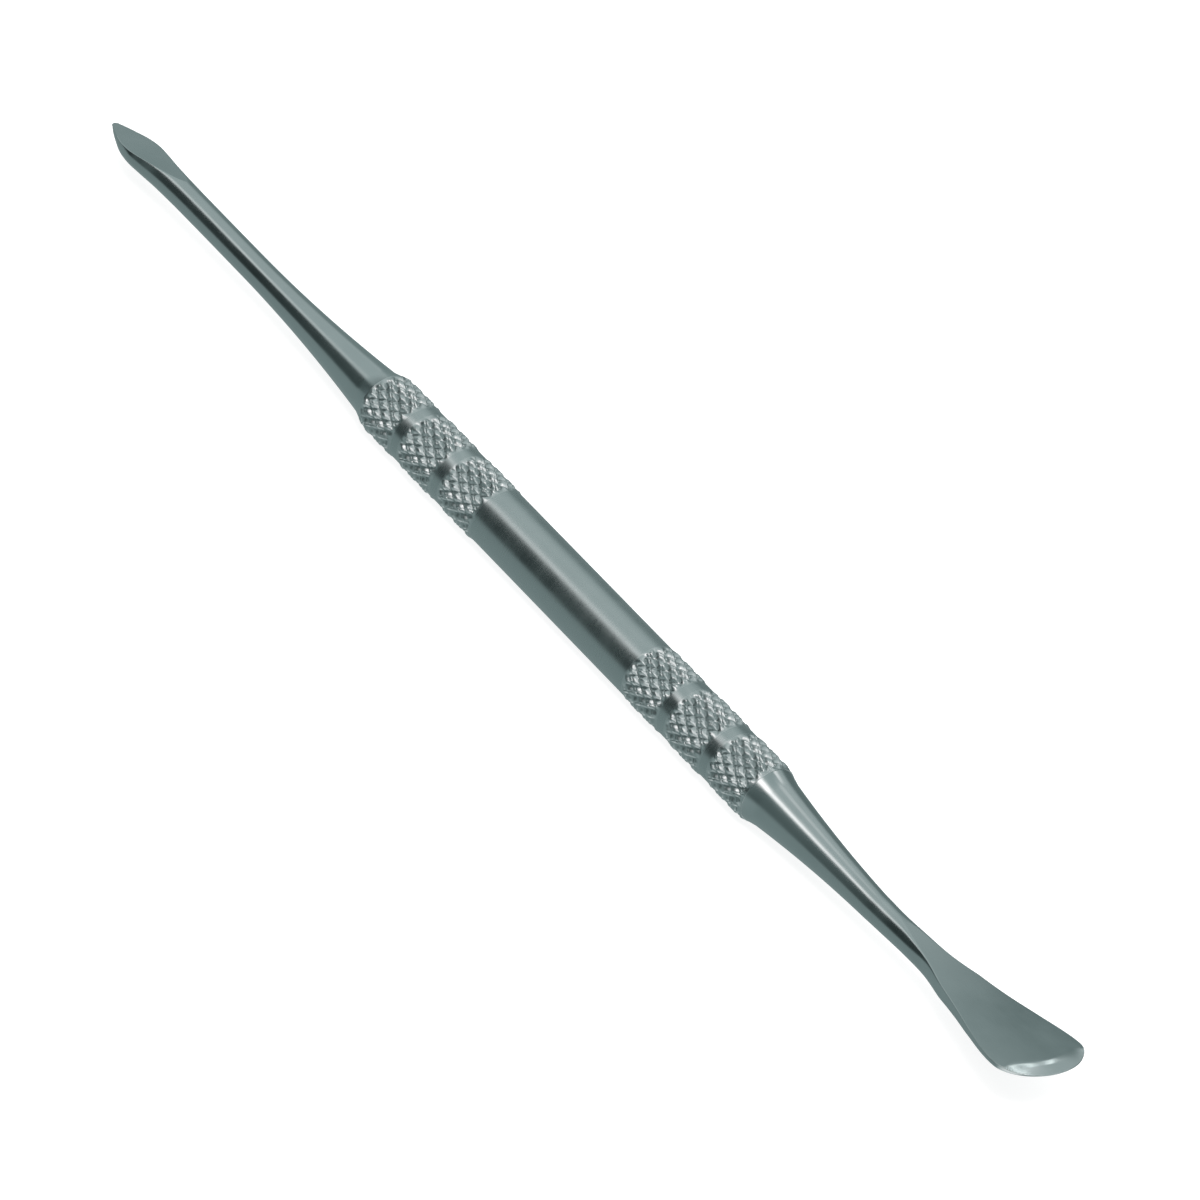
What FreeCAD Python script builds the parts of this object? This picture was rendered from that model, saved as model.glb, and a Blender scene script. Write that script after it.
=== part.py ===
import FreeCAD, Part
import math
import os

# Double-ended dental elevator: a knurled round handle with a tapered working end pressed into
# each of its ends. One end is a narrow pointed leaf, the other a broad round-nosed spatula.
#
# Frame: millimetres. X runs along the handle towards the spatula, Z is the way the blades'
# ground faces look, and the origin is the middle of the handle on its axis.

V = FreeCAD.Vector
AXIS_X = V(1, 0, 0)
MAIN_AXIS = V(0, 0, 0)

# Handle
BARREL_RADIUS = 3.625
CREST_RADIUS = 3.80
HANDLE_HALF_LENGTH = 36.2
BARREL_HALF_LENGTH = 14.25
BANDS_PER_SIDE = 3
BAND_PITCH = 7.8
GAP_WIDTH = 1.2
BAND_CHAMFER = 0.45
END_CHAMFER_LENGTH = 1.0
HANDLE_END_RADIUS = 3.55

# Sockets in the handle's ends, and the tangs that are pressed into them
SOCKET_RADIUS = 2.0
SOCKET_DEPTH = 12.0
SOCKET_MOUTH_CHAMFER = 0.25
DRILL_POINT_LENGTH = 1.2
TANG_RADIUS = 1.99
TANG_LENGTH = 11.5
TANG_CHAMFER = 0.4
VENT_FLAT_DEPTH = 0.25

# Shanks: a short steep cone at the shoulder, then a long concave flare down to a round neck.
# Each is turned for part of its length, and forged and ground from there on.
SHOULDER_RADIUS = 3.50
SHOULDER_CONE_LENGTH = 1.5
POINTED_NECK_RADIUS = 1.68
POINTED_FLARE_RADIUS = 235.0
POINTED_FLARE_LENGTH = 27.0
POINTED_TURNED_LENGTH = 27.0
SPATULA_NECK_RADIUS = 1.60
SPATULA_FLARE_RADIUS = 180.0
SPATULA_FLARE_LENGTH = 25.0
SPATULA_TURNED_LENGTH = 20.0
# Each forged blade starts this much inside its turned neck, so the two meet on a plain flat
NECK_STEP = 0.02

# Pointed leaf: distances back from its point
POINTED_TIP = 91.0
LEAF_BLUNTNESS = 0.12
# (distance from the point, half width, depth of the rounded back)
LEAF_STATIONS = [
    (1.0, 0.78, 0.80),
    (2.5, 1.50, 1.34),
    (4.0, 2.08, 1.64),
    (6.0, 2.40, 1.76),
    (8.0, 2.23, 1.75),
    (10.5, 1.92, 1.71),
    (14.0, 1.74, 1.68),
    (19.0, 1.66, 1.66),
]
# Ground face of the leaf: its height at the point, and where it has run out of the round shank
LEAF_FACE_TIP_HEIGHT = 0.04
LEAF_FACE_MIDDLE = (5.0, 0.50)
LEAF_FACE_RUN_OUT = (15.0, 1.80)

# Broad spatula
SPATULA_END = 86.3
END_ROUND_LENGTH = 3.6
END_ROUND_HALF_WIDTH = 6.05
# (place along the handle axis, half width, half depth, squareness, height of the middle) of the
# forged blank: squareness 2 is an ellipse, and more is nearer to a rectangle
BLANK_STATIONS = [
    (59.0, 1.61, 1.61, 2.0, 0.10),
    (62.0, 1.66, 1.60, 2.0, 0.29),
    (66.0, 1.92, 1.56, 2.4, 0.52),
    (70.0, 3.02, 1.45, 3.0, 0.76),
    (74.0, 4.45, 1.40, 3.6, 1.08),
    (78.0, 6.00, 1.40, 4.0, 1.44),
    (83.0, 8.20, 1.40, 4.0, 1.92),
    (88.0, 10.5, 1.40, 4.0, 2.40),
]
# Flanks of the ground outline, from the neck to where they meet the round nose
FLANK_POINTS = [(60.0, 2.60), (66.0, 2.62), (70.0, 2.95), (74.0, 3.92), (77.0, 4.84)]
# Hollow-ground face: its lowest line and its radius
FACE_LOW_X = 69.0
FACE_LOW_Z = 1.38
FACE_RADIUS = 124.0
# Back: a shallow ground arc through three points of (x, height)
BACK_POINTS = [(60.0, -1.45), (72.0, 0.24), (86.3, 1.90)]
NOSE_BEVEL_LENGTH = 1.9
NOSE_EDGE_THICKNESS = 0.12

# Sizes of the cutting bodies, well clear of the steel
TOOL_REACH = 14.0
TOOL_START_X = 52.0
TOOL_END_X = 89.0
SECTION_POINTS = 24
LOFT_DEGREE = 3


def turned(profile):
    """Solid of revolution about X from a closed outline of (x, radius) points and edges."""
    face = Part.Face(Part.Wire(profile))
    return face.revolve(MAIN_AXIS, AXIS_X, 360)


def polyline(points):
    """Straight edges through (x, radius) points."""
    corners = [V(x, r, 0) for x, r in points]
    return [Part.LineSegment(a, b).toShape() for a, b in zip(corners, corners[1:])]


def band_spans():
    """Start and end of each knurled band on the +X side. The last one ends the handle."""
    starts = [BARREL_HALF_LENGTH + i * BAND_PITCH for i in range(BANDS_PER_SIDE)]
    ends = [start - GAP_WIDTH for start in starts[1:]] + [HANDLE_HALF_LENGTH]
    return list(zip(starts, ends))


def handle_side_outline():
    """Outer outline of one half of the handle, from the middle to its end face."""
    points = [(0, BARREL_RADIUS)]
    for start, end in band_spans():
        points.append((start, BARREL_RADIUS))
        points.append((start + BAND_CHAMFER, CREST_RADIUS))
        if end < HANDLE_HALF_LENGTH:
            points.append((end - BAND_CHAMFER, CREST_RADIUS))
            points.append((end, BARREL_RADIUS))
        else:
            points.append((HANDLE_HALF_LENGTH - END_CHAMFER_LENGTH, CREST_RADIUS))
            points.append((HANDLE_HALF_LENGTH, HANDLE_END_RADIUS))
    return points


def handle_socket_outline():
    """Wall of the blind socket in the +X end, from the mouth to the bottom on the axis."""
    bottom = HANDLE_HALF_LENGTH - SOCKET_DEPTH
    return [
        (HANDLE_HALF_LENGTH, SOCKET_RADIUS + SOCKET_MOUTH_CHAMFER),
        (HANDLE_HALF_LENGTH - SOCKET_MOUTH_CHAMFER, SOCKET_RADIUS),
        (bottom, SOCKET_RADIUS),
        (bottom - DRILL_POINT_LENGTH, 0),
    ]


def make_handle():
    half = handle_side_outline() + handle_socket_outline()
    mirrored = [(-x, r) for x, r in reversed(half)]
    return turned(polyline(mirrored + half[1:] + [mirrored[0]]))


def flare_height(distance, neck_radius, flare_radius, flare_length):
    """Shank radius at a distance from the shoulder, on the arc that ends tangent to the neck."""
    run = flare_length - distance
    return neck_radius + flare_radius - math.sqrt(flare_radius ** 2 - run ** 2)


def make_shank(neck_radius, flare_radius, flare_length, turned_length):
    """Tang, shoulder, cone and concave flare, turned about X and ending in a flat."""
    shoulder = HANDLE_HALF_LENGTH
    turned_end = shoulder + turned_length
    arc_start = shoulder + SHOULDER_CONE_LENGTH
    arc_middle = (arc_start + turned_end) / 2
    sizes = (neck_radius, flare_radius, flare_length)
    start_radius = flare_height(arc_start - shoulder, *sizes)
    middle_radius = flare_height(arc_middle - shoulder, *sizes)
    end_radius = flare_height(turned_length, *sizes)
    tang_end = shoulder - TANG_LENGTH
    before = polyline([
        (tang_end, 0),
        (tang_end, TANG_RADIUS - TANG_CHAMFER),
        (tang_end + TANG_CHAMFER, TANG_RADIUS),
        (shoulder, TANG_RADIUS),
        (shoulder, SHOULDER_RADIUS),
        (arc_start, start_radius),
    ])
    flare = Part.Arc(V(arc_start, start_radius, 0), V(arc_middle, middle_radius, 0),
                     V(turned_end, end_radius, 0)).toShape()
    after = polyline([(turned_end, end_radius), (turned_end, 0), (tang_end, 0)])
    shank = turned(before + [flare] + after)
    vent = Part.makeBox(TANG_LENGTH, 2 * TANG_RADIUS, TANG_RADIUS,
                        V(tang_end, -TANG_RADIUS, -2 * TANG_RADIUS + VENT_FLAT_DEPTH))
    return shank.cut(vent)


def joined(first, second):
    """One solid of two that meet face to face, with no seam left between them."""
    return first.fuse(second).removeSplitter().Solids[0]


def rounded_section(x, half_width, top, bottom, squareness, middle):
    """Closed smooth section across X: an ellipse, or squarer, with its own depth below."""
    points = []
    for i in range(SECTION_POINTS):
        turn = 2 * math.pi * i / SECTION_POINTS
        across = math.copysign(abs(math.cos(turn)) ** (2 / squareness), math.cos(turn))
        up = math.copysign(abs(math.sin(turn)) ** (2 / squareness), math.sin(turn))
        depth = top if up > 0 else bottom
        points.append(V(x, half_width * across, middle + depth * up))
    curve = Part.BSplineCurve()
    curve.interpolate(Points=points, PeriodicFlag=True)
    return Part.Wire(curve.toShape())


def lofted(sections):
    """Smooth solid through closed sections."""
    return Part.makeLoft(sections, True, False, False, LOFT_DEGREE)


def side_tool(curve_edge, start, end, outer_height):
    """Cutting body across the whole width, between a curve in the XZ plane and a flat."""
    lift = [V(end.x, 0, end.z), V(end.x, 0, outer_height), V(start.x, 0, outer_height),
            V(start.x, 0, start.z)]
    edges = [curve_edge] + [Part.LineSegment(a, b).toShape() for a, b in zip(lift, lift[1:])]
    face = Part.Face(Part.Wire(edges))
    face.translate(V(0, -TOOL_REACH, 0))
    return face.extrude(V(0, 2 * TOOL_REACH, 0))


def make_leaf_blank():
    """Forged pointed leaf, built towards +X, from the round neck to its blunt point."""
    start = HANDLE_HALF_LENGTH + POINTED_TURNED_LENGTH
    round_end = POINTED_NECK_RADIUS - NECK_STEP
    sections = [rounded_section(start, round_end, round_end, round_end, 2, 0)]
    for back, half_width, depth in reversed(LEAF_STATIONS):
        sections.append(rounded_section(POINTED_TIP - back, half_width, round_end, depth, 2, 0))
    sections.append(rounded_section(POINTED_TIP, LEAF_BLUNTNESS, LEAF_BLUNTNESS,
                                    LEAF_BLUNTNESS, 2, 0))
    return lofted(sections)


def make_leaf_face_tool():
    """What grinding takes off the leaf: all above a shallow arc that runs out of the shank."""
    start = V(POINTED_TIP - LEAF_FACE_RUN_OUT[0], 0, LEAF_FACE_RUN_OUT[1])
    middle = V(POINTED_TIP - LEAF_FACE_MIDDLE[0], 0, LEAF_FACE_MIDDLE[1])
    end = V(POINTED_TIP, 0, LEAF_FACE_TIP_HEIGHT)
    past_end = V(POINTED_TIP + 1, 0, LEAF_FACE_TIP_HEIGHT)
    arc = Part.Arc(start, middle, end).toShape()
    level = Part.LineSegment(end, past_end).toShape()
    return side_tool(Part.Wire([arc, level]), start, past_end, TOOL_REACH)


def make_pointed_working_end():
    shank = make_shank(POINTED_NECK_RADIUS, POINTED_FLARE_RADIUS, POINTED_FLARE_LENGTH,
                       POINTED_TURNED_LENGTH)
    leaf = make_leaf_blank().cut(make_leaf_face_tool())
    whole = joined(shank, leaf)
    whole.rotate(MAIN_AXIS, V(0, 0, 1), 180)
    return whole


def make_spatula_blank():
    """Forged spatula, from the end of the turned shank to past its nose."""
    start = HANDLE_HALF_LENGTH + SPATULA_TURNED_LENGTH
    round_end = flare_height(SPATULA_TURNED_LENGTH, SPATULA_NECK_RADIUS, SPATULA_FLARE_RADIUS,
                             SPATULA_FLARE_LENGTH) - NECK_STEP
    sections = [rounded_section(start, round_end, round_end, round_end, 2, 0)]
    for x, half_width, half_depth, squareness, middle in BLANK_STATIONS:
        sections.append(rounded_section(x, half_width, half_depth, half_depth, squareness, middle))
    return lofted(sections)


def face_height(x):
    """Height of the hollow-ground face at x."""
    return FACE_LOW_Z + FACE_RADIUS - math.sqrt(FACE_RADIUS ** 2 - (x - FACE_LOW_X) ** 2)


def on_face(x):
    return V(x, 0, face_height(x))


def back_arc():
    """The arc that the back is ground along."""
    first, middle, last = [V(x, 0, z) for x, z in BACK_POINTS]
    return Part.Arc(first, middle, last)


def make_face_tool():
    start = on_face(TOOL_START_X)
    end = on_face(TOOL_END_X)
    arc = Part.Arc(start, on_face(FACE_LOW_X), end).toShape()
    return side_tool(arc, start, end, TOOL_REACH)


def make_back_tool():
    """Everything below the back's arc, which runs on straight at both of its ends."""
    arc = back_arc()
    ends = []
    for parameter, x in ((arc.FirstParameter, TOOL_START_X), (arc.LastParameter, TOOL_END_X)):
        point = arc.value(parameter)
        along = arc.tangent(parameter)[0]
        ends.append(point + along * ((x - point.x) / along.x))
    first, last = arc.value(arc.FirstParameter), arc.value(arc.LastParameter)
    line = Part.Wire([Part.LineSegment(ends[0], first).toShape(), arc.toShape(),
                      Part.LineSegment(last, ends[1]).toShape()])
    return side_tool(line, ends[0], ends[1], -TOOL_REACH)


def make_bevel_tool():
    """What the bevel takes off the nose: all above a line that falls to the cutting edge."""
    start_x = SPATULA_END - NOSE_BEVEL_LENGTH
    start_z = face_height(start_x)
    end_z = BACK_POINTS[-1][1] + NOSE_EDGE_THICKNESS
    slope = (end_z - start_z) / NOSE_BEVEL_LENGTH
    first = V(TOOL_START_X, 0, start_z + slope * (TOOL_START_X - start_x))
    last = V(TOOL_END_X, 0, start_z + slope * (TOOL_END_X - start_x))
    return side_tool(Part.LineSegment(first, last).toShape(), first, last, TOOL_REACH)


def make_outline_tool():
    """Upright body with the spatula's outline: flared flanks and a round nose."""
    nose_x = SPATULA_END - END_ROUND_LENGTH
    flank = FLANK_POINTS + [(nose_x, END_ROUND_HALF_WIDTH)]
    sides = []
    flank_x, flank_y = FLANK_POINTS[0]
    for side in (1, -1):
        curve = Part.BSplineCurve()
        curve.interpolate(Points=[V(x, side * y, 0) for x, y in flank],
                          InitialTangent=V(1, 0, 0), FinalTangent=V(1, 0, 0))
        sides.append(curve.toShape())
    nose = Part.Ellipse(V(nose_x, -END_ROUND_HALF_WIDTH, 0), V(SPATULA_END, 0, 0), V(nose_x, 0, 0))
    round_nose = Part.ArcOfEllipse(nose, 0, math.pi).toShape()
    base = polyline([(flank_x, flank_y), (TOOL_START_X, flank_y), (TOOL_START_X, -flank_y),
                     (flank_x, -flank_y)])
    face = Part.Face(Part.Wire(Part.__sortEdges__(sides + [round_nose] + base)))
    face.translate(V(0, 0, -TOOL_REACH))
    return face.extrude(V(0, 0, 2 * TOOL_REACH))


def make_spatula_working_end():
    shank = make_shank(SPATULA_NECK_RADIUS, SPATULA_FLARE_RADIUS, SPATULA_FLARE_LENGTH,
                       SPATULA_TURNED_LENGTH)
    blank = make_spatula_blank()
    blade = blank.common(make_outline_tool())
    for tool in (make_face_tool(), make_back_tool(), make_bevel_tool()):
        blade = blade.cut(tool)
    return joined(shank, blade)


NODES = {
    "handle": make_handle,
    "pointed_working_end": make_pointed_working_end,
    "spatula_working_end": make_spatula_working_end,
}

os.makedirs("parts", exist_ok=True)
for name, make in NODES.items():
    shape = make()
    shape.exportStep("parts/" + name + ".step")
    box = shape.optimalBoundingBox()
    print(name, shape.ShapeType, "solids", len(shape.Solids), "valid", shape.isValid(),
          "volume %.1f" % shape.Volume, "x %.2f..%.2f" % (box.XMin, box.XMax),
          "y %.2f..%.2f" % (box.YMin, box.YMax), "z %.2f..%.2f" % (box.ZMin, box.ZMax))
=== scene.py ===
import math

import bmesh
import bpy
import numpy as np
from mathutils import Matrix, Vector


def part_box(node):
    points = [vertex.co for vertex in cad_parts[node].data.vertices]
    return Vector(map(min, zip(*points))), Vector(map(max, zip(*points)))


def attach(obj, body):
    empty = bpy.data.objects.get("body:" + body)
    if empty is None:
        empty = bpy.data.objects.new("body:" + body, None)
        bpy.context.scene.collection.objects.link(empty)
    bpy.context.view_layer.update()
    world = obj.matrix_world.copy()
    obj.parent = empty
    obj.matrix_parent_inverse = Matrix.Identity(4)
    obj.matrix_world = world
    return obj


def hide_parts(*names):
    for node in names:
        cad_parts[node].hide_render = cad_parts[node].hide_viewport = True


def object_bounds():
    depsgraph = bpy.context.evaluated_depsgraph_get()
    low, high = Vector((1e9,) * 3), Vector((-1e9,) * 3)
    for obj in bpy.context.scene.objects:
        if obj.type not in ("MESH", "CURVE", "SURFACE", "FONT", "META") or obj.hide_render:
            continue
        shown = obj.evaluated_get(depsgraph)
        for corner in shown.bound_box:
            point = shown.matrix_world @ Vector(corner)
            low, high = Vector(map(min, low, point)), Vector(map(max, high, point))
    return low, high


# Looks of the double-ended dental elevator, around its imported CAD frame.
# Lengths are millimetres in the CAD frame, and meshes are scaled to metres as they are made:
# X runs along the handle towards the spatula, and Z is the way the ground faces look.

MM = 0.001

# Handle
BARREL_RADIUS = 3.625
CREST_RADIUS = 3.80
BARREL_HALF_LENGTH = 14.25
BANDS_PER_SIDE = 3
BAND_PITCH = 7.8
GAP_WIDTH = 1.2
HANDLE_END_RADIUS = 3.55
END_CHAMFER_LENGTH = 1.0
SOCKET_RADIUS = 2.0
SOCKET_DEPTH = 12.0
SOCKET_MOUTH_CHAMFER = 0.25
DRILL_POINT_LENGTH = 1.2
TANG_RADIUS = 1.99
TANG_LENGTH = 11.5
TANG_CHAMFER = 0.4

# Diamond knurl: two crossing families of grooves that wind round the handle
KNURL_STARTS = 16
KNURL_AXIAL_PITCH = 2.24
KNURL_DEPTH = 0.38
KNURL_FLAT = 0.20
KNURL_TRACK_DEPTH = 0.22
KNURL_TRACK_WIDTH = 0.16
KNURL_SAMPLES = 14
KNURL_RUN_OUT = 0.9
KNURL_UNEVENNESS = 0.10
# Faint tracks run along the tops of the ridges. They grow deeper and shallower from ridge to
# ridge and round the handle
KNURL_WANDER_BY_RIDGE = 0.31
KNURL_WANDER_ROUND = 0.17
KNURL_NOISE_CELLS = 64
KNURL_NOISE_SEED = 7
BARREL_RING_STEP = 0.95
HANDLE_SHARP_ANGLE = math.radians(24)

# Shanks
SHOULDER_RADIUS = 3.50
SHOULDER_CONE_LENGTH = 1.5
POINTED_NECK_RADIUS = 1.68
POINTED_FLARE_RADIUS = 235.0
POINTED_FLARE_LENGTH = 27.0
SPATULA_NECK_RADIUS = 1.60
SPATULA_FLARE_RADIUS = 180.0
SPATULA_FLARE_LENGTH = 25.0
SPATULA_TURNED_LENGTH = 20.0
SHANK_RING_STEP = 0.6
BLADE_RING_STEP = 0.25

# Pointed leaf: (distance back from the point, half width, depth of the rounded back)
LEAF_STATIONS = [
    (0.0, 0.02, 0.02),
    (0.1, 0.30, 0.18),
    (0.4, 0.52, 0.42),
    (1.0, 0.84, 0.80),
    (2.5, 1.50, 1.34),
    (4.0, 2.08, 1.64),
    (6.0, 2.40, 1.76),
    (8.0, 2.23, 1.75),
    (10.5, 1.92, 1.71),
    (14.0, 1.74, 1.68),
    (19.0, 1.68, 1.67),
    (27.8, 1.68, 1.68),
]
LEAF_TIP_RING_LENGTH = 4.0
LEAF_TIP_RINGS = 40
# Its ground face: (distance back from the point, height)
LEAF_FACE = [(0.0, 0.04), (5.0, 0.50), (15.0, 1.80)]

# Spatula blank: (x, half width, half depth, squareness, height of the middle)
BLANK_STATIONS = [
    (56.2, 1.67, 1.67, 2.0, 0.03),
    (59.0, 1.61, 1.61, 2.0, 0.11),
    (62.0, 1.66, 1.60, 2.0, 0.29),
    (66.0, 1.92, 1.56, 2.4, 0.52),
    (70.0, 3.02, 1.45, 3.0, 0.76),
    (74.0, 4.45, 1.40, 3.6, 1.08),
    (78.0, 6.00, 1.40, 4.0, 1.44),
    (83.0, 8.20, 1.40, 4.0, 1.92),
    (88.0, 10.5, 1.40, 4.0, 2.40),
]
# Flanks of the ground outline: (x, half width)
FLANK_POINTS = [(56.2, 2.60), (60.0, 2.60), (66.0, 2.62), (70.0, 2.95), (74.0, 3.92),
                (77.0, 4.84)]
END_ROUND_LENGTH = 3.6
FACE_LOW_X = 69.0
FACE_LOW_Z = 1.38
FACE_RADIUS = 124.0
BACK_POINTS = [(60.0, -1.45), (72.0, 0.24), (86.3, 1.90)]
# Rim: the softened bevel round the nose
RIM_START_X = 78.0
RIM_WIDTH = 1.7
RIM_SOFTNESS = 0.55
RIM_END_SHARPNESS = 2.0
RIM_TOLERANCE = 0.015
NOSE_EDGE_THICKNESS = 0.12
EDGE_EASING = 0.07
FACE_CROWN = 0.004
GRINDING_BLEND = 0.14
LEAF_GRINDING_BLEND = 0.04
OUTLINE_BLEND = 0.30
FACE_STEEPNESS = 0.85
FACE_TOLERANCE = 0.6
# Finishes of a blade, in the order of its materials: turned or polished, ground, and the rim
POLISHED, GROUND, RIM = 0, 1, 2

# Sampling of the blades
FACE_SAMPLES = 40
SIDE_SAMPLES = 10
WALL_SAMPLES = 2
NOSE_RINGS = 70
NOSE_EDGE_POINTS = 160
EDGE_STEP = 0.1
EDGE_LEAD_IN = 4.0
MOST_EASING = 0.45
WIDEST_FACE_SHARE = 0.985
SMALLEST_FACE_SHARE = 0.20
MERGE_DISTANCE = 1e-3
AXIS_RADIUS = MERGE_DISTANCE / 4
BLADE_SHARP_ANGLE = math.radians(28)

# Camera: the handle's tilt towards the camera, its roll, and its slope across the picture
CAMERA_TILT = math.radians(34.0)
CAMERA_ROLL = math.radians(50.0)
PICTURE_SLOPE = math.radians(45.763)
CAMERA_DISTANCE = 1003.0
CAMERA_LENS = 276.0
SENSOR_WIDTH = 36.0
AIM_RIGHT = 3.02
AIM_UP = -0.589


def smooth_curve(points):
    """Function through (place, value) points, in order of place: cubic pieces with shared slopes."""
    places = np.array([p[0] for p in points], float)
    values = np.array([p[1] for p in points], float)
    steps = np.diff(places)
    slopes = np.diff(values) / steps
    tangents = np.empty(len(points))
    tangents[0] = slopes[0]
    tangents[-1] = slopes[-1]
    tangents[1:-1] = (slopes[:-1] * steps[1:] + slopes[1:] * steps[:-1]) / (steps[1:] + steps[:-1])

    def curve(x):
        x = np.clip(x, places[0], places[-1])
        i = np.clip(np.searchsorted(places, x) - 1, 0, len(steps) - 1)
        u = (x - places[i]) / steps[i]
        rise = u * u * (3 - 2 * u)
        lead = steps[i] * u * (1 - u) ** 2
        lag = steps[i] * u * u * (u - 1)
        return values[i] * (1 - rise) + values[i + 1] * rise + tangents[i] * lead + tangents[i + 1] * lag

    return curve


def arc_through(points):
    """Height as a function of x on the circle through three (x, z) points, straight beyond them."""
    (x1, z1), (x2, z2), (x3, z3) = points
    rows = np.array([[x2 - x1, z2 - z1], [x3 - x1, z3 - z1]]) * 2
    sums = np.array([x2 ** 2 - x1 ** 2 + z2 ** 2 - z1 ** 2, x3 ** 2 - x1 ** 2 + z3 ** 2 - z1 ** 2])
    centre_x, centre_z = np.linalg.solve(rows, sums)
    radius = math.hypot(x1 - centre_x, z1 - centre_z)
    side = math.copysign(1, z2 - centre_z)

    def height(x):
        inside = np.clip(x, x1, x3)
        reach = np.sqrt(radius ** 2 - (inside - centre_x) ** 2)
        slope = -side * (inside - centre_x) / reach
        return centre_z + side * reach + slope * (x - inside)

    return height


def smooth_step(u):
    u = np.clip(u, 0, 1)
    return u * u * (3 - 2 * u)


def softer_minimum(a, b, blend):
    """The smaller of two heights, rounded over where they are within a blend of each other."""
    near = np.clip(1 - np.abs(a - b) / blend, 0, 1)
    return np.minimum(a, b) - blend * near * near / 4


def closing_up(start, end, count):
    """Places from start to end that come closer together towards the end."""
    return end - (end - start) * (1 - np.sin(np.linspace(0, math.pi / 2, count)))


def steps_between(start, end, step):
    """Places from start to just before end, about a step apart."""
    count = max(1, math.ceil(abs(end - start) / step))
    return np.linspace(start, end, count, endpoint=False)


# ---------------------------------------------------------------- meshes


def make_object(name, points, faces, materials, face_materials, sharp_angle):
    """Smooth-shaded object in metres from points in millimetres, with outward normals."""
    mesh = bpy.data.meshes.new(name)
    mesh.from_pydata((points * MM).tolist(), [], faces)
    for material in materials:
        mesh.materials.append(material)
    mesh.polygons.foreach_set("material_index", face_materials)
    built = bpy.data.objects.new(name, mesh)
    bpy.context.scene.collection.objects.link(built)
    tidy = bmesh_of(mesh)
    tidy.to_mesh(mesh)
    tidy.free()
    mesh.shade_smooth()
    mesh.set_sharp_from_angle(angle=sharp_angle)
    return built


def bmesh_of(mesh):
    """The mesh with coinciding points joined, flattened faces removed and its normals outward."""
    work = bmesh.new()
    work.from_mesh(mesh)
    bmesh.ops.remove_doubles(work, verts=work.verts, dist=MERGE_DISTANCE * MM)
    bmesh.ops.dissolve_degenerate(work, edges=work.edges, dist=MERGE_DISTANCE * MM / 2)
    bmesh.ops.recalc_face_normals(work, faces=work.faces)
    return work


def skin(rings, pick_diagonal):
    """Triangles between neighbouring closed rings, and a cap on each end ring.
    pick_diagonal(i, j) says whether the cell's diagonal starts from its own first corner."""
    count, around = rings.shape[:2]
    i, j = np.meshgrid(np.arange(count - 1), np.arange(around), indexing="ij")
    i, j = i.ravel(), j.ravel()
    k = (j + 1) % around
    a, b = i * around + j, (i + 1) * around + j
    c, d = (i + 1) * around + k, i * around + k
    main = pick_diagonal(i, j)
    first = np.where(main[:, None], np.stack([a, b, c], 1), np.stack([a, b, d], 1))
    second = np.where(main[:, None], np.stack([a, c, d], 1), np.stack([b, c, d], 1))
    faces = np.concatenate([first, second]).tolist()
    faces.append(list(range(around))[::-1])
    faces.append(list(range((count - 1) * around, count * around)))
    return faces


def always_first(i, j):
    """For skin: every diagonal starts from its cell's first corner."""
    return np.ones(len(i), bool)


def circles(profile, around):
    """Rings about the X axis from (x, radius) pairs."""
    turn = 2 * math.pi * np.arange(around) / around
    x, r = np.array(profile, float).T
    points = np.empty((len(profile), around, 3))
    points[:, :, 0] = x[:, None]
    points[:, :, 1] = r[:, None] * np.cos(turn)
    points[:, :, 2] = r[:, None] * np.sin(turn)
    return points


# ---------------------------------------------------------------- handle


def band_spans(half_length):
    """Start and end of each knurled band on the +X side. The last one ends the handle."""
    starts = [BARREL_HALF_LENGTH + i * BAND_PITCH for i in range(BANDS_PER_SIDE)]
    ends = [start - GAP_WIDTH for start in starts[1:]] + [half_length]
    return list(zip(starts, ends))


def knurl_height(x, turn, noise):
    """Height of the knurl between its grooves, 0, and its blunt crests, 1."""
    across = KNURL_STARTS * turn / (2 * math.pi)
    along = x / KNURL_AXIAL_PITCH
    crest = np.ones(np.broadcast(x, turn).shape)
    for phase in (across + along, across - along):
        to_groove = np.abs((phase + 0.5) % 1.0 - 0.5) * 2
        crest = crest * np.sin(np.minimum(to_groove / (1 - KNURL_FLAT), 1) * math.pi / 2)
        track = np.clip(1 - (1 - to_groove) / KNURL_TRACK_WIDTH, 0, 1)
        swing = KNURL_WANDER_BY_RIDGE * np.floor(phase) + KNURL_WANDER_ROUND * across
        wander = 0.5 + 0.5 * np.sin(2 * math.pi * swing)
        crest = crest - KNURL_TRACK_DEPTH * track * wander
    cell_a = np.floor(across + along).astype(int)
    cell_b = np.floor(across - along).astype(int)
    return crest * (1 - KNURL_UNEVENNESS * noise[cell_a % len(noise), cell_b % len(noise)])


def handle_stations(half_length):
    """Rings' places along the handle, and how strongly the knurl shows at each."""
    step = KNURL_AXIAL_PITCH / KNURL_SAMPLES
    places = list(steps_between(-BARREL_HALF_LENGTH, BARREL_HALF_LENGTH, BARREL_RING_STEP))
    places.append(BARREL_HALF_LENGTH)
    for start, end in band_spans(half_length):
        inside = np.arange(math.ceil(start / step), math.floor(end / step) + 1) * step
        inside = inside[(inside > start + step / 4) & (inside < end - step / 4)]
        for x in [start, *inside, end]:
            places.extend([x, -x])
    places = np.unique(np.round(places, 6))
    strength = np.zeros(len(places))
    for start, end in band_spans(half_length):
        from_edge = np.minimum(np.abs(places) - start, end - np.abs(places))
        strength = np.maximum(strength, smooth_step(from_edge / KNURL_RUN_OUT))
    return places, strength


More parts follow.
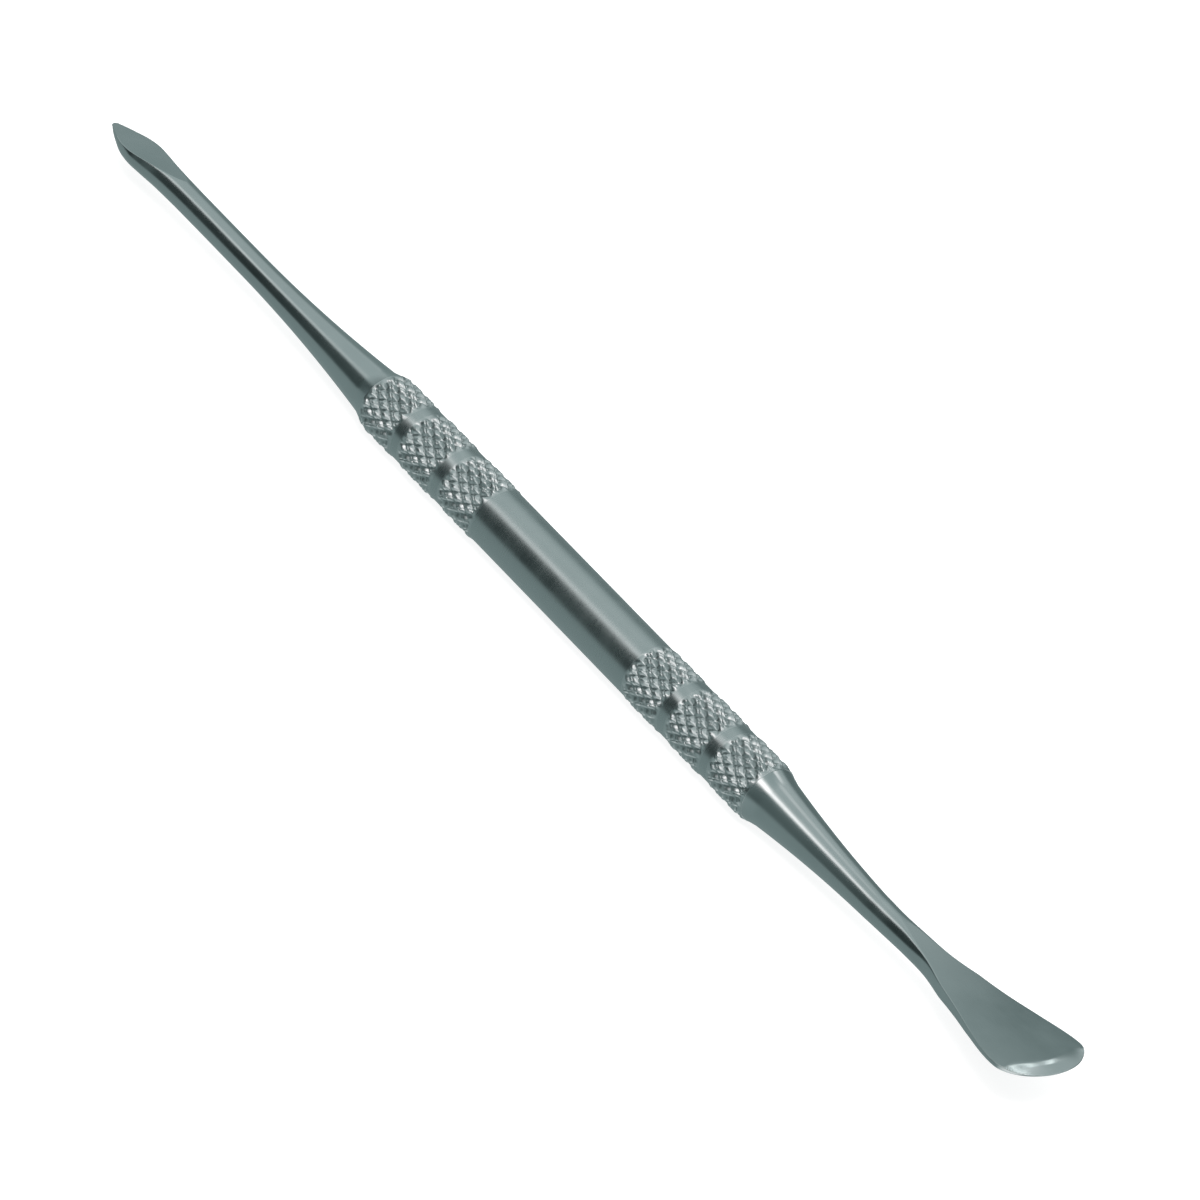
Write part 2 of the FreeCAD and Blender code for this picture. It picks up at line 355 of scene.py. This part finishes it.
def end_radius(x, half_length):
    """Barrel radius, which falls at the very end of the handle to meet the shank's shoulder."""
    into_chamfer = np.clip((np.abs(x) - half_length + END_CHAMFER_LENGTH) / END_CHAMFER_LENGTH, 0, 1)
    return BARREL_RADIUS + (HANDLE_END_RADIUS - BARREL_RADIUS) * into_chamfer


def build_handle(materials):
    half_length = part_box("handle")[1].x / MM
    around = KNURL_STARTS * KNURL_SAMPLES
    turn = 2 * math.pi * np.arange(around) / around
    places, strength = handle_stations(half_length)
    noise = np.random.default_rng(KNURL_NOISE_SEED).random((KNURL_NOISE_CELLS, KNURL_NOISE_CELLS))
    x, angle = places[:, None], turn[None, :]
    height = knurl_height(x, angle, noise)
    base = end_radius(x, half_length)
    raised = CREST_RADIUS - KNURL_DEPTH * (1 - height)
    radius = base + (raised - base) * strength[:, None]
    outer = circles([(place, 1.0) for place in places], around)
    outer[:, :, 1:] *= radius[:, :, None]
    bottom = half_length - SOCKET_DEPTH
    socket = [
        (half_length, SOCKET_RADIUS + SOCKET_MOUTH_CHAMFER),
        (half_length - SOCKET_MOUTH_CHAMFER, SOCKET_RADIUS),
        (bottom, SOCKET_RADIUS),
        (bottom - DRILL_POINT_LENGTH, AXIS_RADIUS),
    ]
    left = circles([(-sx, sr) for sx, sr in reversed(socket)], around)
    rings = np.concatenate([left, outer, circles(socket, around)])
    index = np.round(rings[:, 0, 0] * KNURL_SAMPLES / KNURL_AXIAL_PITCH).astype(int)
    half = KNURL_SAMPLES // 2

    def along_grooves(i, j):
        return (index[i] + j + 1) % half != 0

    faces = skin(rings, along_grooves)
    points = rings.reshape(-1, 3)
    centre = np.array([points[f].mean(0)[0] for f in faces])
    knurled = np.zeros(len(faces), int)
    for start, end in band_spans(half_length):
        knurled |= ((np.abs(centre) > start) & (np.abs(centre) < end)).astype(int)
    return make_object("knurled_handle", points, faces, materials, knurled, HANDLE_SHARP_ANGLE)


# ---------------------------------------------------------------- working ends


def flare_height(distance, neck_radius, flare_radius, flare_length):
    """Shank radius at a distance from the shoulder, on the arc that ends tangent to the neck."""
    run = flare_length - np.minimum(distance, flare_length)
    return neck_radius + flare_radius - np.sqrt(flare_radius ** 2 - run ** 2)


def shank_profile(shoulder, end_distance, sizes):
    """(x, radius) pairs of the tang, the shoulder, its cone and the flare, up to the blade."""
    tang_end = shoulder - TANG_LENGTH
    profile = [
        (tang_end, AXIS_RADIUS),
        (tang_end, TANG_RADIUS - TANG_CHAMFER),
        (tang_end + TANG_CHAMFER, TANG_RADIUS),
        (shoulder, TANG_RADIUS),
        (shoulder, SHOULDER_RADIUS),
    ]
    for distance in steps_between(SHOULDER_CONE_LENGTH, end_distance, SHANK_RING_STEP):
        profile.append((shoulder + distance, float(flare_height(distance, *sizes))))
    return profile


def half_section_places(half_width, face_edge):
    """Distances from the middle of a section, with one exactly on the face's edge."""
    share = np.clip(face_edge / half_width, SMALLEST_FACE_SHARE, WIDEST_FACE_SHARE)
    inner = half_width * share * np.linspace(0, 1, FACE_SAMPLES, endpoint=False)
    first = math.asin(share)
    outer = half_width * np.sin(np.linspace(first, math.pi / 2, SIDE_SAMPLES + 1))
    return np.concatenate([inner, outer])


def section_ring(x, half_width, face_edge, top, bottom):
    """Closed ring across X, over the top from +Y to -Y and back along the bottom."""
    half = half_section_places(half_width, face_edge)
    y = np.concatenate([half[::-1], -half[1:]])
    over, under = top(x, y), bottom(x, y)
    wall = over[0] - under[0]
    easing = min(EDGE_EASING, MOST_EASING * wall)
    if easing > 0:
        in_easing = np.clip(1 - (half_width - np.abs(y)) / easing, 0, 1)
        eased = easing * (1 - np.sqrt(1 - in_easing ** 2))
        over, under = over - eased, under + eased
    down = np.linspace(over[-1], under[-1], WALL_SAMPLES + 2)[1:-1]
    up = np.linspace(under[0], over[0], WALL_SAMPLES + 2)[1:-1]
    across = np.concatenate([y, np.full(WALL_SAMPLES, y[-1]), y[::-1], np.full(WALL_SAMPLES, y[0])])
    height = np.concatenate([over, down, under[::-1], up])
    return np.stack([np.full(len(across), x), across, height], 1)


def matching_circles(profile, ring):
    """Rings about X whose points lie in the same directions as those of a blade's first ring."""
    direction = ring[:, 1:] / np.linalg.norm(ring[:, 1:], axis=1)[:, None]
    rings = np.empty((len(profile), len(ring), 3))
    for i, (x, radius) in enumerate(profile):
        rings[i, :, 0] = x
        rings[i, :, 1:] = direction * radius
    return rings


def first_corners(rings, faces):
    """First three corners of every face."""
    points = rings.reshape(-1, 3)
    return np.array([points[f[:3]] for f in faces])


def surface_kinds(corners, face_start, face_at):
    """POLISHED, or GROUND on the ground face: the top beyond a distance from the middle, at or
    near the face's height."""
    centre = corners.mean(1)
    normal = np.cross(corners[:, 1] - corners[:, 0], corners[:, 2] - corners[:, 0])
    upward = np.abs(normal[:, 2]) > FACE_STEEPNESS * np.linalg.norm(normal, axis=1)
    reach = np.abs(centre[:, 0])
    near_face = centre[:, 2] > face_at(reach) - FACE_TOLERANCE
    return np.where(upward & near_face & (reach > face_start), GROUND, POLISHED)


def build_leaf(materials):
    """The pointed working end, built towards +X and then turned to its place at -X."""
    tip = -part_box("pointed_working_end")[0].x / MM
    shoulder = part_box("handle")[1].x / MM
    sizes = (POINTED_NECK_RADIUS, POINTED_FLARE_RADIUS, POINTED_FLARE_LENGTH)
    neck = POINTED_FLARE_LENGTH + shoulder
    width_at = smooth_curve([(tip - back, width) for back, width, depth in reversed(LEAF_STATIONS)])
    depth_at = smooth_curve([(tip - back, depth) for back, width, depth in reversed(LEAF_STATIONS)])
    face_at = arc_through([(tip - back, height) for back, height in reversed(LEAF_FACE)])

    def round_top(x, y):
        inside = np.clip(1 - (y / width_at(x)) ** 2, 0, 1)
        return POINTED_NECK_RADIUS * np.sqrt(inside)

    def top(x, y):
        return softer_minimum(round_top(x, y), face_at(x), LEAF_GRINDING_BLEND)

    def bottom(x, y):
        return -depth_at(x) * np.sqrt(np.clip(1 - (y / width_at(x)) ** 2, 0, 1))

    def face_edge(x):
        share = np.clip(face_at(x) / POINTED_NECK_RADIUS, 0, 1)
        return width_at(x) * math.sqrt(1 - share ** 2)

    places = np.concatenate([
        steps_between(neck, tip - LEAF_TIP_RING_LENGTH, BLADE_RING_STEP),
        closing_up(tip - LEAF_TIP_RING_LENGTH, tip, LEAF_TIP_RINGS),
    ])
    blade = np.array([section_ring(x, width_at(x), face_edge(x), top, bottom) for x in places])
    shank = matching_circles(shank_profile(shoulder, POINTED_FLARE_LENGTH, sizes), blade[0])
    rings = np.concatenate([shank, blade])
    rings[:, :, :2] *= -1
    faces = skin(rings, always_first)
    kinds = surface_kinds(first_corners(rings, faces), tip - LEAF_FACE[-1][0], face_at)
    return make_object("pointed_leaf_end", rings.reshape(-1, 3), faces, materials, kinds,
                       BLADE_SHARP_ANGLE)


def outline_half_width(nose_x, end_x, half_width):
    """Half the spatula's width: flared flanks, level where they meet the round nose."""
    last_x, last_width = FLANK_POINTS[-1]
    flank = smooth_curve(FLANK_POINTS + [(nose_x, half_width), (2 * nose_x - last_x, last_width)])

    def width(x):
        into_nose = np.clip((x - nose_x) / (end_x - nose_x), 0, 1)
        return np.where(x < nose_x, flank(x), half_width * np.sqrt(1 - into_nose ** 2))

    return width


def build_spatula(materials):
    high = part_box("spatula_working_end")[1]
    end_x = high.x / MM
    nose_x = end_x - END_ROUND_LENGTH
    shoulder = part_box("handle")[1].x / MM
    sizes = (SPATULA_NECK_RADIUS, SPATULA_FLARE_RADIUS, SPATULA_FLARE_LENGTH)
    neck = shoulder + SPATULA_TURNED_LENGTH
    outline = outline_half_width(nose_x, end_x, high.y / MM)
    columns = list(zip(*BLANK_STATIONS))
    width_at, depth_at, square_at, middle_at = [
        smooth_curve(list(zip(columns[0], column))) for column in columns[1:]]
    back_at = arc_through(BACK_POINTS)
    edge_x = np.concatenate([
        steps_between(RIM_START_X - EDGE_LEAD_IN, nose_x, EDGE_STEP),
        closing_up(nose_x, end_x, NOSE_EDGE_POINTS),
    ])
    edge = np.stack([edge_x, outline(edge_x)], 1)
    along_edge = np.gradient(edge, axis=0)
    edge_facing = -along_edge[:, 1] / np.linalg.norm(along_edge, axis=1)
    edge_facing = np.clip(edge_facing, 0, 1) ** RIM_END_SHARPNESS

    def face_at(x):
        return FACE_LOW_Z + FACE_RADIUS - np.sqrt(FACE_RADIUS ** 2 - (x - FACE_LOW_X) ** 2)

    def blank(x, y):
        squareness = square_at(x)
        inside = np.clip(1 - np.abs(y / width_at(x)) ** squareness, 0, 1)
        return depth_at(x) * inside ** (1 / squareness)

    def bevel_height(x, y):
        """Height and slope of the bevel round the nose. It is steepest at the very end."""
        gap = np.hypot(edge[:, 0, None] - x, edge[:, 1, None] - np.abs(y)[None, :])
        nearest = gap.argmin(0)
        fall = (face_at(end_x) - back_at(end_x) - NOSE_EDGE_THICKNESS) * edge_facing[nearest]
        slope = fall / RIM_WIDTH
        return face_at(x) + (gap.min(0) - RIM_WIDTH) * slope, slope

    def top(x, y):
        ground = face_at(x) - FACE_CROWN * y * y
        if x > RIM_START_X:
            bevel, slope = bevel_height(x, y)
            ground = softer_minimum(ground, bevel, RIM_SOFTNESS * slope + MERGE_DISTANCE)
        return softer_minimum(ground, middle_at(x) + blank(x, y), GRINDING_BLEND)

    def bottom(x, y):
        return -softer_minimum(-back_at(x), blank(x, y) - middle_at(x), GRINDING_BLEND)

    def half_width(x):
        return float(max(softer_minimum(width_at(x), outline(x), OUTLINE_BLEND), MERGE_DISTANCE))

    def face_edge(x):
        rise = np.clip((face_at(x) - middle_at(x)) / depth_at(x), 0, 1)
        squareness = square_at(x)
        return float(width_at(x) * (1 - rise ** squareness) ** (1 / squareness))

    places = np.concatenate([
        steps_between(neck, nose_x, BLADE_RING_STEP),
        closing_up(nose_x, end_x, NOSE_RINGS),
    ])
    blade = np.array([section_ring(x, half_width(x), face_edge(x), top, bottom) for x in places])
    shank = matching_circles(shank_profile(shoulder, SPATULA_TURNED_LENGTH, sizes), blade[0])
    rings = np.concatenate([shank, blade])
    faces = skin(rings, always_first)
    corners = first_corners(rings, faces)
    kinds = surface_kinds(corners, BACK_POINTS[0][0], face_at)
    centre = corners.mean(1)
    below = face_at(centre[:, 0]) - FACE_CROWN * centre[:, 1] ** 2 - centre[:, 2]
    kinds[(kinds == GROUND) & (centre[:, 0] > RIM_START_X) & (below > RIM_TOLERANCE)] = RIM
    return make_object("spatula_end", rings.reshape(-1, 3), faces, materials, kinds,
                       BLADE_SHARP_ANGLE)


# ---------------------------------------------------------------- materials


# Steel's noises: how often they repeat in a metre, and how far they change its finish
FINE_SCALE = 4200.0
CLOUD_SCALE = 260.0
CLOUD_LOW, CLOUD_HIGH = 0.3, 0.7
DULL_LOW, DULL_HIGH = 0.85, 1.2
GRAIN_LOW, GRAIN_HIGH = 0.2, 1.0
WORN_LOW, WORN_HIGH = -0.03, 0.05
TINT_LOW, TINT_HIGH = 0.93, 1.05
BUMP_STRENGTH = 0.5
STEEL_COLOUR = (0.50, 0.555, 0.555)
KNURL_COLOUR = (0.56, 0.61, 0.61)


class Nodes:
    """Short way to add and join the nodes of one tree."""

    def __init__(self, tree):
        self.tree = tree

    def add(self, kind, inputs=None, **settings):
        node = self.tree.nodes.new(kind)
        for key, value in settings.items():
            setattr(node, key, value)
        for key, value in (inputs or {}).items():
            socket = self.socket(node.inputs, key)
            if isinstance(value, bpy.types.NodeSocket):
                self.tree.links.new(value, socket)
            else:
                socket.default_value = value
        return node

    @staticmethod
    def socket(sockets, key):
        """The socket in use under that name or number: a Mix node has one of each kind."""
        if isinstance(key, int):
            return sockets[key]
        return next(socket for socket in sockets if socket.name == key and socket.enabled)


def steel(name, colour, roughness, anisotropy, grain_stretch, grain_depth, speckle):
    """Satin stainless steel. grain_stretch is how often the grain repeats along X, Y and Z."""
    material = bpy.data.materials.new(name)
    material.use_nodes = True
    nodes = Nodes(material.node_tree)
    shader = material.node_tree.nodes["Principled BSDF"]
    place = nodes.add("ShaderNodeTexCoord").outputs["Object"]
    stretched = nodes.add("ShaderNodeMapping", {"Vector": place, "Scale": grain_stretch}).outputs["Vector"]
    grain = nodes.add("ShaderNodeTexNoise", {"Vector": stretched, "Scale": 1.0, "Detail": 4.0,
                                             "Roughness": 0.6}).outputs["Fac"]
    fine = nodes.add("ShaderNodeTexNoise", {"Vector": place, "Scale": FINE_SCALE,
                                            "Detail": 2.0}).outputs["Fac"]
    cloud = nodes.add("ShaderNodeTexNoise", {"Vector": place, "Scale": CLOUD_SCALE, "Detail": 5.0,
                                             "Roughness": 0.55}).outputs["Fac"]
    mixed = nodes.add("ShaderNodeMath", {0: fine, 1: speckle, 2: grain}, operation="MULTIPLY_ADD").outputs[0]
    dull = nodes.add("ShaderNodeMapRange", {"Value": cloud, "From Min": CLOUD_LOW, "From Max": CLOUD_HIGH,
                                            "To Min": roughness * DULL_LOW,
                                            "To Max": roughness * DULL_HIGH}).outputs["Result"]
    worn = nodes.add("ShaderNodeMapRange", {"Value": mixed, "From Min": GRAIN_LOW, "From Max": GRAIN_HIGH,
                                            "To Min": WORN_LOW, "To Max": WORN_HIGH}).outputs["Result"]
    total = nodes.add("ShaderNodeMath", {0: dull, 1: worn}, operation="ADD").outputs[0]
    tint = nodes.add("ShaderNodeMix", {"Factor": cloud, "A": (*[c * TINT_LOW for c in colour], 1),
                                       "B": (*[c * TINT_HIGH for c in colour], 1)}, data_type="RGBA")
    bump = nodes.add("ShaderNodeBump", {"Height": mixed, "Strength": BUMP_STRENGTH,
                                        "Distance": grain_depth * MM})
    tangent = nodes.add("ShaderNodeTangent", direction_type="RADIAL", axis="X")
    material.node_tree.links.new(Nodes.socket(tint.outputs, "Result"), shader.inputs["Base Color"])
    material.node_tree.links.new(total, shader.inputs["Roughness"])
    material.node_tree.links.new(bump.outputs["Normal"], shader.inputs["Normal"])
    material.node_tree.links.new(tangent.outputs["Tangent"], shader.inputs["Tangent"])
    shader.inputs["Metallic"].default_value = 1.0
    shader.inputs["Anisotropic"].default_value = anisotropy
    return material


# ---------------------------------------------------------------- stage, light and camera

# Metres
FLOOR_REACH = 3.0
FLOOR_GREY = 0.30
FLOOR_GLOW = 0.86
OVERHEAD_PLACE = (0.25, -0.35, 1.3)
OVERHEAD_SIZE = 0.9
OVERHEAD_ENERGY = 18
CLIP_START = 0.05
CLIP_END = 20


def make_floor(height):
    """White floor that glows a little, so that the shadow on it stays faint."""
    floor = bpy.data.meshes.new("floor")
    corners = [(-FLOOR_REACH, -FLOOR_REACH, height), (FLOOR_REACH, -FLOOR_REACH, height),
               (FLOOR_REACH, FLOOR_REACH, height), (-FLOOR_REACH, FLOOR_REACH, height)]
    floor.from_pydata(corners, [], [(0, 1, 2, 3)])
    built = bpy.data.objects.new("floor", floor)
    bpy.context.scene.collection.objects.link(built)
    built.visible_glossy = False
    paint = bpy.data.materials.new("pale_floor")
    paint.use_nodes = True
    shader = paint.node_tree.nodes["Principled BSDF"]
    shader.inputs["Base Color"].default_value = (FLOOR_GREY, FLOOR_GREY, FLOOR_GREY, 1)
    shader.inputs["Emission Color"].default_value = (1, 1, 1, 1)
    shader.inputs["Emission Strength"].default_value = FLOOR_GLOW
    shader.inputs["Roughness"].default_value = 0.9
    shader.inputs["Specular IOR Level"].default_value = 0.0
    floor.materials.append(paint)


# Brightness of the studio, as the steel mirrors it. Each ring is for one sideways lean towards the
# pointed end, -1, or the spatula, 1. Its pairs give degrees from straight up, towards the side
# that the camera is on, and the brightness there.
STUDIO_RINGS = [
    (-0.98, [(-180, 0.30), (-110, 0.12), (-60, 0.10), (-20, 0.12), (25, 0.25), (35, 0.08),
             (60, 0.10), (80, 0.25), (180, 0.32)]),
    (-0.83, [(-180, 0.36), (-120, 0.34), (-100, 0.34), (-60, 0.42), (-47, 0.60), (20, 0.60),
             (27, 0.64), (36, 0.60), (43, 0.12), (94, 0.11), (104, 0.34), (180, 0.36)]),
    (-0.71, [(-180, 0.36), (-120, 0.34), (-100, 0.30), (-64, 0.36), (-56, 0.43), (-47, 0.66),
             (-34, 0.58), (20, 0.58), (27, 0.80), (36, 0.80), (43, 0.08), (94, 0.07),
             (104, 0.36), (180, 0.36)]),
    (-0.57, [(-180, 0.36), (-120, 0.34), (-100, 0.30), (-58, 0.26), (-44, 0.44), (-34, 0.59),
             (10, 0.60), (20, 0.58), (27, 1.05), (35, 1.05), (42, 0.04), (97, 0.03),
             (107, 0.33), (180, 0.36)]),
    (-0.34, [(-180, 0.36), (-120, 0.28), (-100, 0.16), (-66, 0.22), (-57, 0.30), (-50, 0.66),
             (-20, 0.62), (-12, 1.10), (-4, 0.62), (20, 0.62), (27, 0.95), (32, 1.95), (38, 1.95),
             (46, 0.30), (60, 0.19), (94, 0.18), (106, 0.34), (180, 0.36)]),
    (-0.20, [(-180, 0.42), (-120, 0.25), (-70, 0.12), (-53, 0.50), (-38, 0.60), (-30, 1.6),
             (-26, 1.6), (-18, 0.50), (20, 0.55), (32, 2.4), (39, 2.4),
             (46, 0.20), (94, 0.12), (108, 0.40), (180, 0.42)]),
    (0.02, [(-180, 0.50), (-120, 0.30), (-70, 0.14), (-50, 0.45), (-20, 0.50), (20, 0.60),
            (30, 2.6), (40, 2.6), (48, 0.25), (94, 0.20), (108, 0.55), (150, 0.9), (180, 0.50)]),
    (0.35, [(-180, 0.40), (-120, 0.90), (-100, 0.25), (-40, 0.30), (-10, 1.8), (10, 1.8),
            (30, 0.40), (100, 0.35), (130, 1.2), (150, 1.2), (180, 0.40)]),
]
# Share of red in the studio's light at each brightness: dim parts are blue green, lamps warm
STUDIO_RED = [(0.05, 0.74), (0.30, 0.80), (0.50, 0.84), (0.65, 0.91), (1.0, 1.0), (2.4, 1.10)]
BACKDROP = 0.95

# Two small strip lamps close to the spatula's nose: what each one aims at, and the way to it
RIM_LAMPS = [((84.1, -2.7, 2.2), (-0.40, 0.58, 0.70)), ((84.5, 0.9, 2.2), (-0.40, 0.65, 0.63))]
RIM_LAMP_DISTANCE = 60.0
RIM_LAMP_RUN = (0.8, 0.0, 0.6)
RIM_LAMP_LENGTH = 15.0
RIM_LAMP_WIDTH = 3.5
RIM_LAMP_ENERGY = 0.0002


def add_ring(nodes, share, stops, brightest):
    """Colour of one ring of the studio, as a share of its brightest light."""
    ramp = nodes.add("ShaderNodeValToRGB", {"Fac": share})
    elements = ramp.color_ramp.elements
    while len(elements) > 1:
        elements.remove(elements[-1])
    for i, (angle, level) in enumerate(stops):
        stop = elements[0] if i == 0 else elements.new(1.0)
        stop.position = (angle + 180) / 360
        red = float(np.interp(level, *zip(*STUDIO_RED)))
        stop.color = (red * level / brightest, level / brightest, level / brightest, 1)
    return ramp.outputs["Color"]


def make_world():
    world = bpy.data.worlds.new("studio")
    bpy.context.scene.world = world
    world.use_nodes = True
    nodes = Nodes(world.node_tree)
    world.node_tree.nodes.clear()
    way = nodes.add("ShaderNodeTexCoord").outputs["Generated"]
    split = nodes.add("ShaderNodeSeparateXYZ", {0: way}).outputs
    front = nodes.add("ShaderNodeMath", {0: split["Y"], 1: -1.0}, operation="MULTIPLY").outputs[0]
    turn = nodes.add("ShaderNodeMath", {0: front, 1: split["Z"]}, operation="ARCTAN2").outputs[0]
    share = nodes.add("ShaderNodeMapRange", {"Value": turn, "From Min": -math.pi, "From Max": math.pi,
                                             "To Min": 0.0, "To Max": 1.0}).outputs["Result"]
    brightest = max(level for lean, stops in STUDIO_RINGS for angle, level in stops)
    colour, last_lean = None, None
    for lean, stops in STUDIO_RINGS:
        ring = add_ring(nodes, share, stops, brightest)
        if colour is None:
            colour, last_lean = ring, lean
            continue
        towards = nodes.add("ShaderNodeMapRange", {"Value": split["X"], "From Min": last_lean,
                                                   "From Max": lean}).outputs["Result"]
        mix = nodes.add("ShaderNodeMix", {"Factor": towards, "A": colour, "B": ring}, data_type="RGBA")
        colour, last_lean = Nodes.socket(mix.outputs, "Result"), lean
    studio = nodes.add("ShaderNodeBackground", {"Color": colour, "Strength": brightest})
    pale = nodes.add("ShaderNodeBackground", {"Color": (BACKDROP, BACKDROP, BACKDROP, 1),
                                              "Strength": 1.0})
    seen = nodes.add("ShaderNodeLightPath").outputs["Is Camera Ray"]
    choice = nodes.add("ShaderNodeMixShader", {0: seen, 1: studio.outputs[0], 2: pale.outputs[0]})
    nodes.add("ShaderNodeOutputWorld", {"Surface": choice.outputs[0]})


def make_light(name, place, size, energy):
    """Soft light that falls on the floor and doesn't mirror in the steel."""
    lamp = bpy.data.lights.new(name, "AREA")
    lamp.shape = "DISK"
    lamp.size = size
    lamp.energy = energy
    built = bpy.data.objects.new(name, lamp)
    bpy.context.scene.collection.objects.link(built)
    built.location = place
    built.rotation_mode = "QUATERNION"
    built.rotation_quaternion = Vector(place).to_track_quat("Z", "Y")
    built.visible_glossy = False
    built.visible_camera = False


def make_strip(name, place, aim, along, length, width, energy):
    """Small strip lamp that mirrors in the steel near it."""
    lamp = bpy.data.lights.new(name, "AREA")
    lamp.shape = "RECTANGLE"
    lamp.size = length * MM
    lamp.size_y = width * MM
    lamp.energy = energy
    built = bpy.data.objects.new(name, lamp)
    bpy.context.scene.collection.objects.link(built)
    backward = (Vector(place) - Vector(aim)).normalized()
    sideways = backward.cross(Vector(along)).normalized()
    turn = Matrix((sideways.cross(backward), sideways, backward)).transposed().to_4x4()
    built.matrix_world = Matrix.Translation(Vector(place) * MM) @ turn
    built.visible_camera = False


def make_camera():
    tilt, roll = CAMERA_TILT, CAMERA_ROLL
    along = Vector((math.cos(tilt), math.sin(roll) * math.sin(tilt), -math.cos(roll) * math.sin(tilt)))
    across = Vector((0, -math.cos(roll), -math.sin(roll)))
    towards = Vector((math.sin(tilt), -math.sin(roll) * math.cos(tilt), math.cos(roll) * math.cos(tilt)))
    right = along * math.cos(PICTURE_SLOPE) - across * math.sin(PICTURE_SLOPE)
    up = -along * math.sin(PICTURE_SLOPE) - across * math.cos(PICTURE_SLOPE)
    lens = bpy.data.cameras.new("camera")
    lens.lens = CAMERA_LENS
    lens.sensor_width = SENSOR_WIDTH
    lens.clip_start = CLIP_START
    lens.clip_end = CLIP_END
    camera = bpy.data.objects.new("camera", lens)
    bpy.context.scene.collection.objects.link(camera)
    aim = right * AIM_RIGHT + up * AIM_UP
    turn = Matrix((right, up, towards)).transposed().to_4x4()
    camera.matrix_world = Matrix.Translation((aim + towards * CAMERA_DISTANCE) * MM) @ turn
    bpy.context.scene.camera = camera


# ---------------------------------------------------------------- the whole


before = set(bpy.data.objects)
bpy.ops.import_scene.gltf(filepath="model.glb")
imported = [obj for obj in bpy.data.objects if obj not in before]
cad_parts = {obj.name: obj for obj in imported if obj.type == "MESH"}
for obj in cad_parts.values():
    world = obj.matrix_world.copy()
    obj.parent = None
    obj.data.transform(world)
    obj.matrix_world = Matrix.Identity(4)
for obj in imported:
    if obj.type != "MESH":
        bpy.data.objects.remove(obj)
cad_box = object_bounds()

# Name, colour, roughness, anisotropy, grain repeats along X, Y and Z, grain depth in mm, speckle
barrel_steel = steel("barrel_steel", STEEL_COLOUR, 0.24, 0.4, (5200, 500, 500), 0.0035, 0.4)
knurl_steel = steel("knurl_steel", KNURL_COLOUR, 0.27, 0.0, (2600, 2600, 2600), 0.006, 0.6)
shank_steel = steel("shank_steel", STEEL_COLOUR, 0.18, 0.4, (260, 3400, 3400), 0.0008, 0.1)
ground_steel = steel("ground_steel", STEEL_COLOUR, 0.17, 0.0, (420, 2400, 420), 0.0007, 0.1)
rim_steel = steel("rim_steel", STEEL_COLOUR, 0.14, 0.0, (900, 900, 900), 0.0007, 0.1)

handle = build_handle([barrel_steel, knurl_steel])
leaf = build_leaf([shank_steel, ground_steel])
spatula = build_spatula([shank_steel, ground_steel, rim_steel])
for piece, node, finish_slot in ((handle, "handle", "handle_steel"),
                                 (leaf, "pointed_working_end", "pointed_end_steel"),
                                 (spatula, "spatula_working_end", "spatula_end_steel")):
    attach(piece, "root")
    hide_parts(node)

make_floor(cad_box[0].z)
make_world()
make_light("overhead", OVERHEAD_PLACE, OVERHEAD_SIZE, OVERHEAD_ENERGY)
for i, (aim, way) in enumerate(RIM_LAMPS):
    place = Vector(aim) + RIM_LAMP_DISTANCE * Vector(way)
    make_strip(f"rim_strip_{i}", place, aim, RIM_LAMP_RUN, RIM_LAMP_LENGTH, RIM_LAMP_WIDTH,
               RIM_LAMP_ENERGY)
make_camera()
bpy.context.scene.view_settings.view_transform = "Standard"
